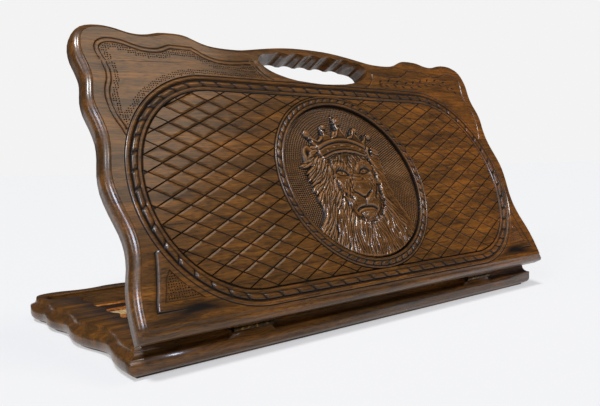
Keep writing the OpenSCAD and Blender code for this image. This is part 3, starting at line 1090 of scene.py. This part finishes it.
bare = [((-17.5, 145), 12, 8), ((18, 146.5), 12, 8), ((4, 119), 16, 11),
        ((2, 106), 12, 10), ((3, 138), 9, 16), ((0, 98), 22, 9)]
for start in hair_seed.uniform((-36, 80), (35, 168), (620, 2)):
    open_skin = any(
        ((start[0] - x) / wide) ** 2 + ((start[1] - y) / high) ** 2 < 1
        for (x, y), wide, high in bare
    )
    if inside(start[None], face_loop)[0] and not open_skin:
        hair(start, hair_seed.uniform(4, 7), None, half=1.0, height=0.32)

for layer in (0.84, 0.64, 0.44, 0.24, 0.04):
    roots = smooth_curve(hair_roots + layer * (hair_tips - hair_roots), 5)
    reach = np.hypot(*(hair_tips - hair_roots).T)
    starts, share = spaced(roots, HAIR_PITCH)
    for start, along in zip(starts, share):
        depth = np.interp(along, np.linspace(0, 1, len(reach)), reach)
        lock = 0.35 * math.sin(start[0] / 3.1 + start[1] / 4.7)
        hair(
            start + hair_seed.uniform(-1.6, 1.6, 2),
            (0.38 * depth + 6) * hair_seed.uniform(0.75, 1.15),
            1.45 + 1.35 * (1 - layer) + lock + hair_seed.uniform(-0.15, 0.15),
            lean=0.16 * math.sin(start[0] / 5.0 - start[1] / 6.0),
        )
for low, high, rows_of_hair in (((-62, 157), (-41, 178), 9), ((36, 156), (45, 176), 6)):
    for start in np.linspace(low, high, rows_of_hair):
        lean = -0.25 if low[0] < 0 else 0.2
        hair(start + hair_seed.uniform(-1, 1, 2), 13, 2.0, lean=lean, height=0.9)
for row_of_hair in range(3):
    for start_x in np.arange(-9, 12, 2.0):
        hair((start_x + 0.6 * row_of_hair, 95 - 4 * row_of_hair), 9, None, half=1.0, height=0.8)

# %% [markdown]
# ## The crown
# The crown is a raised outline with a rolled rim along its foot and its top. Each of its points
# ends in a bead with a drop-shaped hollow beside it, which is cut deep and darkened with stain
# and painted shade.

# %% The crown
crown_loop = np.array([
    (-43, 178), (-50, 188), (-58, 203), (-48, 194), (-38, 188), (-32, 195), (-27, 208),
    (-22, 198), (-15, 192.5), (-8, 203), (-3, 224), (4, 205), (10, 192.5), (17, 197),
    (23, 206), (27, 196), (32, 187.5), (38, 190), (44, 198), (40, 187), (35, 178), (33, 171),
    (31, 164), (15, 169), (-2, 171), (-20, 169), (-38, 162), (-42, 170),
], float)
here = near(crown_loop, 0)
relief[here[inside(spots[here], crown_loop)]] *= 0.4
build_up(crown_loop, 3.0, 2.5)
swell((-2, 178), (46, 12), 0.9)
raise_line([(-39, 163), (-20, 170), (-2, 172.5), (15, 170.5), (31.5, 165)], 2.3, 1.3)
raise_line([(-43, 178), (-24, 185.5), (-3, 189), (16, 186.5), (34.5, 178.5)], 2.1, 1.2)
cut_line([(-41, 166.5), (-20, 173.6), (-2, 176), (15, 174), (32, 168)], 1.3, 0.9)
cut_line([(-42, 174.5), (-24, 181.8), (-3, 185), (16, 182.8), (34, 175)], 1.3, 0.9)
raise_line([(-46, 190), (-38, 186.8), (-31, 190)], 1.8, 1.0)
for left, low_left, valley, low_right, right in (
    ((-45, 194), (-42, 189.5), (-37, 188), (-31, 191), (-25, 200)),
    ((-22, 199), (-19, 194.5), (-14, 192.5), (-7, 194.5), (-1, 204)),
    ((3, 205), (6, 196.5), (10.5, 192.7), (17, 192.7), (23, 201)),
    ((25, 199), (28, 191.5), (32, 188), (37, 188.5), (43, 194)),
):
    raise_line([left, low_left, valley, low_right, right], 1.7, 1.1)
# Painted shade with stain in the crown's drop-shaped pits: darkest in the middle of each pit.
pit_stain_and_shade = np.zeros(len(spots))
for pit, tip, width in (
    ((-49, 188), (-58, 202), 3.4), ((-29, 197), (-28, 207), 4.2), ((-6.5, 205), (-3, 223), 5.6),
    ((17, 198), (22, 205), 3.6), ((36, 193), (41, 198), 3.2),
):
    pit, tip = np.array(pit, float), np.array(tip, float)
    for share in np.linspace(0, 1, 5):
        size = width * (1 - 0.75 * share)
        here = near(pit + share * (tip - pit), size)
        away = np.hypot(*(spots[here] - pit - share * (tip - pit)).T) / size
        bowl = np.where(away < 1, 0.2 + 3.5 * away ** 3, 9)
        relief[here] = np.minimum(relief[here], bowl)
        pit_stain_and_shade[here] = np.maximum(pit_stain_and_shade[here], np.clip(5 - 5 * away, 0, 1))
for x, y, radius in ((-51, 197, 4.4), (-22, 206, 3.2), (2.5, 214.5, 5.2), (26.5, 202, 3.2),
                     (47, 193, 3.2)):
    here = near((x, y), radius)
    from_middle = np.hypot(*(spots[here] - (x, y)).T) / radius
    pit_stain_and_shade[here] *= from_middle > 1
    ball = 2.6 + 1.7 * np.sqrt(np.clip(1 - from_middle ** 2, 0, 1))
    ball -= 0.7 * np.clip(1 - np.abs(from_middle - 0.62) / 0.2, 0, 1)
    relief[here] = np.where(from_middle < 1, ball, relief[here])
for x, y, wide, high in ((-1, 181, 6, 2.6), (-16, 178.7, 3, 2), (13, 179, 3, 2), (-28, 174, 2.4, 2),
                         (24, 175, 2.4, 2)):
    swell((x, y), (wide, high), 0.8)

# %% [markdown]
# ## Stain, wear and painted light from the relief
# Blurring the relief and comparing it with itself tells hollows from high spots. Stain pools in
# the first and painted shade darkens them further; hands rub the second lighter and a painted
# highlight lightens them more, with a few broad patches of painted light besides. Both go on the
# mesh as attributes for the beech to read.

# %% Set the relief on the disc
edge_fade = smooth_step((DISC_RADIUS - 0.4 - np.hypot(*(spots - MEDALLION).T)) / 3.0)
relief *= edge_fade
relief = np.clip(relief, -0.6, RECESS_DEPTH + LOWEST_TOP)


def blurred(values, times):
    square = values.reshape(across_grid.shape)
    for _ in range(times):
        padded = np.pad(square, 1, mode="edge")
        square = (
            padded[:-2, 1:-1] + padded[2:, 1:-1] + padded[1:-1, :-2] + padded[1:-1, 2:]
            + 2 * square
        ) / 6
    return square.ravel()


hollow = (blurred(relief, 6) - relief) * 4.2 + (blurred(relief, 40) - relief) * 0.4
on_floor = 1 - smooth_step((blurred(relief, 3) - 0.6) / 1.2)
# Stain and painted shade: darker in the hollows, a little darker on the floor and near-black in the
# crown's pits.
stain_and_painted_shade = np.clip(0.9 * hollow + 0.1 + 0.22 * on_floor + pit_stain_and_shade, 0, 1)
# Wear and painted highlight: the high spots of the relief are lighter.
wear_and_painted_highlight = np.clip(-0.55 * hollow - 0.08, 0, 0.55)
# Broad patches of painted light on the face, on the floor to its right and at the mane's foot.
for x, y, wide, high, amount in (
    (0, 128, 36, 46, 0.08), (78, 148, 26, 16, 0.4), (84, 122, 12, 14, 0.4), (5, 62, 40, 14, 0.12),
):
    away = ((spots[:, 0] - x) / wide) ** 2 + ((spots[:, 1] - y) / high) ** 2
    wear_and_painted_highlight += amount * np.clip(1.3 - 1.3 * away, 0, 1)
wear_and_painted_highlight *= 1 - 0.6 * stain_and_painted_shade


def carved_disc():
    bm = bmesh.new()
    cut = bm.verts.layers.float.new("cut")
    wear_and_highlight = bm.verts.layers.float.new("wear_and_highlight")
    bmesh.ops.create_grid(bm, x_segments=DISC_STEPS, y_segments=DISC_STEPS, size=0.5)
    place_in = np.array([v.co[:2] for v in bm.verts])
    column, row = np.rint((place_in + 0.5) * DISC_STEPS).astype(int).T
    index = row * (DISC_STEPS + 1) + column
    for vert, i in zip(bm.verts, index):
        vert.co = (*spots[i], face_z - RECESS_DEPTH + relief[i])
        vert[cut], vert[wear_and_highlight] = stain_and_painted_shade[i], wear_and_painted_highlight[i]
    face_up(bm)
    return bm


lion = carved_disc()
print("lion relief:", len(lion.faces), "faces, top at", round(relief.max(), 2), "mm")

# %% [markdown]
# ## Placing the carving
# Every carved piece is now copied on to both trays, and the shell takes the CAD tray's place.
# The smoothing angle is chosen for each piece: flat wood needs a small one to keep its edges
# crisp, and rounded rope and hair need a large one.

# %% Put the carving on both trays
for side in ("upper", "lower"):
    tray = place(side + "_tray_shell", shell, side, beech[side])
    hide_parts(side + "_tray")
    for name, bm, angle in (
        ("corner_panels", face, 24), ("rope_border", rope_border, 80),
        ("diamond_lattice", lattice, 8), ("rope_ring", rope_ring, 80),
        ("lion_medallion", lion, 80),
    ):
        place(f"{side}_{name}", bm, side, beech[side], angle)
print("carving placed on the", " and ".join(placements), "trays")

# %% [markdown]
# ## Inside the trays
# The floors are burl veneer: a thin slice of a knotty growth, whose grain swirls around small
# eyes. The points are let in flush, black-stained and pale. None of it needs new shapes, so
# the CAD parts stay and only get their finishes.

# %% Burl veneer
BURL_DRIFT = 60 * MM
BURL_SWIRL = 16 * MM
BURL_EYES = 21 * MM
BURL_SWAY = 0.035


def finish_nodes(names, material):
    """Give CAD parts a finish; their meshes are left alone."""
    for name in names:
        mesh = frame["nodes"][name].data
        mesh.materials.clear()
        mesh.materials.append(material)


def burl_veneer(name, tilt):
    material, tree, shader = new_material(
        name, IOR=1.5, Specular_IOR_Level=0.3, Coat_Weight=0.15, Coat_Roughness=0.35, Coat_IOR=1.5
    )
    flat = laid_flat(tree, tilt)
    drift = add_node(tree, "ShaderNodeTexNoise", {"Vector": flat},
                     in_Scale=1 / BURL_DRIFT, in_Detail=3.0)
    pushed = add_node(
        tree, "ShaderNodeMix", {4: flat, 5: drift.outputs["Color"]},
        data_type="VECTOR", in_0=BURL_SWAY,
    )
    swirls = add_node(tree, "ShaderNodeTexNoise", {"Vector": pushed.outputs[1]},
                      in_Scale=1 / BURL_SWIRL, in_Detail=7.0, in_Roughness=0.65,
                      in_Distortion=2.2)
    colour = add_node(tree, "ShaderNodeValToRGB", {"Fac": swirls.outputs["Fac"]})
    set_ramp(colour, [
        (0.3, "#3b1c0c"), (0.42, "#6e3a18"), (0.52, "#a35f28"), (0.6, "#c58440"),
        (0.72, "#8f5122"),
    ])
    eyes = add_node(tree, "ShaderNodeTexVoronoi", {"Vector": pushed.outputs[1]},
                    in_Scale=1 / BURL_EYES)
    eye_tone = add_node(tree, "ShaderNodeValToRGB", {"Fac": eyes.outputs["Distance"]})
    set_ramp(eye_tone, [(0.04, "#3a2416"), (0.12, "#c9b194"), (0.3, "#ffffff")])
    dotted = add_node(
        tree, "ShaderNodeMix", {6: colour.outputs["Color"], 7: eye_tone.outputs["Color"]},
        data_type="RGBA", blend_type="MULTIPLY", in_0=0.7,
    )
    tree.links.new(dotted.outputs[2], shader.inputs["Base Color"])
    roughen(tree, shader, swirls.outputs["Fac"], (0.42, 0.3), 0.15, 0.15 * MM)
    return material


print("burl swirls about", round(BURL_SWIRL / MM), "mm across")


# %% Plain veneer and metal
def straight_veneer(name, stops, tilt, length=(18, 160, 18), roughness=0.4):
    """Plain veneer with its grain along the points."""
    material, tree, shader = new_material(
        name, IOR=1.5, Roughness=roughness, Coat_Weight=0.2, Coat_Roughness=0.3, Coat_IOR=1.5
    )
    drawn_out = add_node(
        tree, "ShaderNodeMapping", {"Vector": laid_flat(tree, tilt)},
        in_Scale=[1 / (size / 10 * MM) for size in length],
    )
    streaks = add_node(tree, "ShaderNodeTexNoise", {"Vector": drawn_out.outputs["Vector"]},
                       in_Scale=1.0, in_Detail=5.0, in_Roughness=0.6, in_Distortion=0.3)
    colour = add_node(tree, "ShaderNodeValToRGB", {"Fac": streaks.outputs["Fac"]})
    set_ramp(colour, stops)
    tree.links.new(colour.outputs["Color"], shader.inputs["Base Color"])
    bump = add_node(tree, "ShaderNodeBump", {"Height": streaks.outputs["Fac"]},
                    in_Strength=0.2, in_Distance=0.12 * MM)
    tree.links.new(bump.outputs["Normal"], shader.inputs["Normal"])
    return material


def metal(name, stops, roughness, grain_mm=4.0, bump=0.1):
    """Metal whose tone wanders a little, as handled and tarnished metal does."""
    material, tree, shader = new_material(name, Metallic=1.0)
    place_in = add_node(tree, "ShaderNodeTexCoord")
    tarnish = add_node(tree, "ShaderNodeTexNoise", {"Vector": place_in.outputs["Object"]},
                       in_Scale=1 / (grain_mm * MM), in_Detail=5.0, in_Roughness=0.65)
    colour = add_node(tree, "ShaderNodeValToRGB", {"Fac": tarnish.outputs["Fac"]})
    set_ramp(colour, stops)
    tree.links.new(colour.outputs["Color"], shader.inputs["Base Color"])
    roughen(tree, shader, tarnish.outputs["Fac"], roughness, bump, 0.1 * MM)
    return material


print("plain veneer and metal are ready")

# %% [markdown]
# ## Finishing the CAD parts
# Black-stained veneer is nearly black with brown streaks, and maple is a pale straw colour.
# The hinges are aged brass: dark where it is tarnished, bright where it is rubbed. The screws
# are newer brass, and the magnets are nickel-plated steel, a cool and fairly smooth grey.

# %% Finishes of the CAD parts
EBONY_STOPS = [(0.35, "#0c0908"), (0.6, "#1d1512"), (0.75, "#2c211b")]
MAPLE_STOPS = [(0.3, "#a5814f"), (0.5, "#c8a873"), (0.7, "#dcc394")]
for side, tilt in (("upper", lid_angle), ("lower", 0.0)):
    finish_nodes([side + "_panel"], burl_veneer(f"burl_veneer_{side}", tilt))
    finish_nodes([side + "_dark_points"],
                 straight_veneer(f"black_stained_veneer_{side}", EBONY_STOPS, tilt))
    finish_nodes([side + "_light_points"],
                 straight_veneer(f"maple_veneer_{side}", MAPLE_STOPS, tilt))

BRASS_STOPS = [(0.4, "#1d150c"), (0.56, "#3d2d18"), (0.7, "#a8823f")]
hinge_brass = metal("aged_brass", BRASS_STOPS, (0.5, 0.28))
finish_nodes(
    [n for n in frame["nodes"] if "hinge_leaf" in n or "hinge_pin" in n], hinge_brass
)
screw_brass = metal("screw_brass", [(0.3, "#6b4f25"), (0.55, "#a98344"), (0.7, "#cda75e")],
                    (0.4, 0.25), 2.0)
finish_nodes([n for n in frame["nodes"] if "screws" in n], screw_brass)
finish_nodes(
    [n for n in frame["nodes"] if "magnets" in n],
    metal("magnet_nickel", [(0.3, "#8f8f8c"), (0.7, "#c9c8c4")], (0.3, 0.2), 3.0, 0.05),
)
print(len(frame["nodes"]), "CAD parts have their finishes")

# %% [markdown]
# ## Checkers and dice
# A checker is turned on a lathe: one half-profile spun about its axis gives the rolled rim and
# the dished middle. A die starts as a finely divided cube. Pulling every point to a fixed
# distance from a smaller inner cube rounds its edges, and points near a pip's centre sink in.
# Places and sizes come from the separate solids of the CAD parts that these pieces replace.

# %% The separate solids of a CAD part
def solids_of(name):
    """Middle, size and turn about z of each solid in a CAD part, in millimetres."""
    bm = bmesh.new()
    bm.from_mesh(frame["nodes"][name].data)
    bmesh.ops.scale(bm, verts=bm.verts, vec=(1 / MM,) * 3)
    bmesh.ops.remove_doubles(bm, verts=bm.verts, dist=SAME)
    unseen, solids = set(bm.verts), []
    while unseen:
        island, waiting = [], [unseen.pop()]
        while waiting:
            vert = waiting.pop()
            island.append(vert)
            for edge in vert.link_edges:
                other = edge.other_vert(vert)
                if other in unseen:
                    unseen.remove(other)
                    waiting.append(other)
        points = np.array([tuple(v.co) for v in island])
        flat_edges = [
            e for v in island for e in v.link_edges
            if abs(e.verts[0].co.z - e.verts[1].co.z) < SAME
        ]
        longest = max(flat_edges, key=lambda e: e.calc_length())
        way = longest.verts[1].co - longest.verts[0].co
        solids.append((
            Vector((points.min(0) + points.max(0)) / 2), points.max(0) - points.min(0),
            math.atan2(way.y, way.x),
        ))
    bm.free()
    return sorted(solids, key=lambda solid: tuple(solid[0]))


def place_inside(name, bm, material, node):
    """Pieces that lie in the lower tray, in millimetres, instead of a CAD part."""
    bmesh.ops.scale(bm, verts=bm.verts, vec=(MM,) * 3)
    mesh = bpy.data.meshes.new(name)
    bm.to_mesh(mesh)
    mesh.shade_smooth()
    mesh.set_sharp_from_angle(angle=math.radians(35))
    piece = add_object(name, mesh, "lower_half", material)
    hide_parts(node)


print("light checkers in the CAD:", len(solids_of("light_checkers")))

# %% Turned checkers
TURNING_STEPS = 40


def turned_checker(bm, middle, size):
    thick_way = int(np.argmin(size))
    half_thick = size[thick_way] / 2
    radius = max(size) / 2
    half = [
        (0.0, -1.3), (0.1, -0.7), (0.2, -0.9), (0.42, -0.95), (0.46, -0.45), (0.52, -0.45),
        (0.56, -0.95), (0.68, -0.9), (0.74, -0.2), (0.8, 0.0), (0.9, 0.0), (0.97, -0.5),
        (1.0, -1.3),
    ]
    top = [(r * radius, half_thick + z) for r, z in half]
    profile = top + [(r, -z) for r, z in reversed(top)]
    part = bmesh.new()
    verts = [part.verts.new((r, 0, z)) for r, z in profile]
    edges = [part.edges.new(pair) for pair in zip(verts, verts[1:])]
    bmesh.ops.spin(
        part, geom=verts + edges, cent=(0, 0, 0), axis=(0, 0, 1), angle=math.tau,
        steps=TURNING_STEPS, use_merge=True, use_duplicate=False,
    )
    bmesh.ops.remove_doubles(part, verts=part.verts, dist=SAME / 2)
    bmesh.ops.recalc_face_normals(part, faces=part.faces)
    axis = Vector([float(i == thick_way) for i in range(3)])
    stand = Matrix.Translation(middle) @ Vector((0, 0, 1)).rotation_difference(
        axis).to_matrix().to_4x4()
    part.transform(stand)
    mesh = bpy.data.meshes.new("turned")
    part.to_mesh(mesh)
    bm.from_mesh(mesh)
    bpy.data.meshes.remove(mesh)


checker_finish = {
    "light_checkers": straight_veneer(
        "turned_maple", [(0.3, "#bf9c69"), (0.7, "#d6ba8a")], 0.0, (120, 30, 30), 0.38
    ),
    "dark_checkers": straight_veneer(
        "turned_wenge", [(0.3, "#1d120c"), (0.5, "#3a2315"), (0.7, "#563722")], 0.0,
        (120, 20, 20), 0.38,
    ),
}
for node, finish in checker_finish.items():
    bm = bmesh.new()
    solids = solids_of(node)
    for middle, size, _ in solids:
        turned_checker(bm, middle, size)
    place_inside(node.replace("checkers", "turned_checkers"), bm, finish, node)
    print(len(solids), node, "of", np.round(solids[0][1], 1), "mm")

# %% Dice with sunk pips
DIE_CUTS = 29
DIE_ROUNDING = 1.6
PIP_RADIUS = 1.05
PIP_DEPTH = 0.4
PIP_PITCH = 2.8
PIPS = {
    1: [(0, 0)], 2: [(-1, -1), (1, 1)], 3: [(-1, -1), (0, 0), (1, 1)],
    4: [(-1, -1), (-1, 1), (1, -1), (1, 1)],
    5: [(-1, -1), (-1, 1), (1, -1), (1, 1), (0, 0)],
    6: [(-1, -1), (-1, 0), (-1, 1), (1, -1), (1, 0), (1, 1)],
}


def pipped_die(bm, middle, side, turn):
    part = bmesh.new()
    cut = part.verts.layers.float.new("cut")
    bmesh.ops.create_cube(part, size=side)
    bmesh.ops.subdivide_edges(part, edges=part.edges, cuts=DIE_CUTS, use_grid_fill=True)
    core = side / 2 - DIE_ROUNDING
    for vert in part.verts:
        inner = Vector([max(-core, min(core, c)) for c in vert.co])
        for way in range(3):
            if abs(vert.co[way]) > side / 2 - SAME:
                count = (1, 2, 3)[way] if vert.co[way] > 0 else (6, 5, 4)[way]
                across, up = vert.co[(way + 1) % 3], vert.co[(way + 2) % 3]
                away = min(math.hypot(across - a * PIP_PITCH, up - b * PIP_PITCH)
                           for a, b in PIPS[count]) / PIP_RADIUS
                if away < 1:
                    vert.co[way] *= 1 - 2 * PIP_DEPTH / side * (1 - away ** 2)
                    vert[cut] = min(1.0, 3 - 3 * away)
        if vert[cut] == 0:
            vert.co = inner + (vert.co - inner).normalized() * DIE_ROUNDING
    part.transform(Matrix.Translation(middle) @ Matrix.Rotation(turn, 4, "Z"))
    mesh = bpy.data.meshes.new("die")
    part.to_mesh(mesh)
    bm.from_mesh(mesh)
    bpy.data.meshes.remove(mesh)


# %% Ivory-coloured resin, and the two dice
resin, resin_tree, resin_shader = new_material(
    "ivory_resin", IOR=1.5, Roughness=0.25, Subsurface_Weight=0.1, Subsurface_Scale=2 * MM
)
pip = add_node(resin_tree, "ShaderNodeAttribute", attribute_name="cut")
cloud = add_node(
    resin_tree, "ShaderNodeTexNoise",
    {"Vector": add_node(resin_tree, "ShaderNodeTexCoord").outputs["Object"]},
    in_Scale=1 / (5 * MM), in_Detail=3.0,
)
ivory = add_node(resin_tree, "ShaderNodeValToRGB", {"Fac": cloud.outputs["Fac"]})
set_ramp(ivory, [(0.35, "#dccfb2"), (0.65, "#efe7d4")])
inked = add_node(
    resin_tree, "ShaderNodeMix", {0: pip.outputs["Fac"], 6: ivory.outputs["Color"]},
    data_type="RGBA",
)
inked.inputs[7].default_value = linear("#15110e")
resin_tree.links.new(inked.outputs[2], resin_shader.inputs["Base Color"])
bm = bmesh.new()
bm.verts.layers.float.new("cut")
for middle, size, turn in solids_of("dice"):
    pipped_die(bm, middle, size[2], turn)
place_inside("pipped_dice", bm, resin, "dice")
print("dice of", len(bm.faces), "faces in all")

# %% [markdown]
# ## Floor, light and camera
# A plain pale floor and a bright, even surround stand for a table in a white room. The main
# light comes from above, so that it rakes across the tilted lid and every cut throws a shadow.
# The right and front ones are placed by mirroring the way to the camera: on the right one the
# flat near end of the lid shines, and on the front one the left slopes of the carving do. A
# weak cool one from the left brightens the slopes that face it.

# %% Floor
floor_material, floor_tree, floor_shader = new_material(
    "matt_paper", Roughness=0.9, Specular_IOR_Level=0.2
)
floor_shader.inputs["Base Color"].default_value = linear("#a8a8a8")
floor_shader.inputs["Emission Color"].default_value = linear("#ffffff")
floor_shader.inputs["Emission Strength"].default_value = 0.44
floor_mesh = bpy.data.meshes.new("paper_floor")
bm = bmesh.new()
bmesh.ops.create_circle(bm, cap_ends=True, segments=96, radius=40)
bmesh.ops.translate(bm, verts=bm.verts, vec=(0, 0, -0.3 * MM))
face_up(bm)
bm.to_mesh(floor_mesh)
floor_mesh.materials.append(floor_material)
floor = bpy.data.objects.new("paper_floor", floor_mesh)
bpy.context.scene.collection.objects.link(floor)
print("floor laid at the case's foot")


# %% Lights
def soft_sun(name, towards, strength, spread, colour="#ffffff"):
    """A far-off light: towards points from the case to the light, spread is its size."""
    light = bpy.data.lights.new(name, "SUN")
    light.energy = strength
    light.angle = math.radians(spread)
    light.color = linear(colour)[:3]
    lamp = bpy.data.objects.new(name, light)
    lamp.rotation_euler = Vector(towards).to_track_quat("Z", "Y").to_euler()
    bpy.context.scene.collection.objects.link(lamp)


soft_sun("top_light", (-0.4, -0.22, 0.9), 2.5, 12)
soft_sun("right_light", (0.34, -0.46, 0.8), 0.45, 22, "#fff0dd")
soft_sun("front_light", (-0.34, -0.68, 0.64), 1.5, 10, "#dfe9ff")
soft_sun("left_light", (-0.9, -0.3, 0.45), 0.6, 18, "#eef3ff")
print("four soft lights")

world = bpy.data.worlds.new("studio")
world.use_nodes = True
background = world.node_tree.nodes["Background"]
seen_directly = add_node(world.node_tree, "ShaderNodeLightPath")
surround = add_node(
    world.node_tree, "ShaderNodeMix", {0: seen_directly.outputs["Is Camera Ray"]},
    data_type="RGBA",
)
surround.inputs[6].default_value = linear("#414246")
surround.inputs[7].default_value = linear("#f3f3f3")
world.node_tree.links.new(surround.outputs[2], background.inputs["Color"])
bpy.context.scene.world = world
bpy.context.scene.view_settings.view_transform = "Standard"

# %% Camera
SENSOR_WIDTH = 36.0
heading, downward, roll = (math.radians(a) for a in (38.465, 3.42, -1.542))
camera_data = bpy.data.cameras.new("camera")
camera_data.sensor_width = SENSOR_WIDTH
camera_data.lens = 37.47
camera_data.clip_start = 0.01
camera = bpy.data.objects.new("camera", camera_data)
camera.matrix_world = (
    Matrix.Translation(Vector((-505.7, -640.8, 177.8)) * MM)
    @ Matrix.Rotation(-heading, 4, "Z")
    @ Matrix.Rotation(math.pi / 2 - downward, 4, "X")
    @ Matrix.Rotation(roll, 4, "Z")
)
bpy.context.scene.collection.objects.link(camera)
bpy.context.scene.camera = camera
print("camera set with a lens of", camera_data.lens, "mm")

# %% Update the scene
bpy.context.view_layer.update()
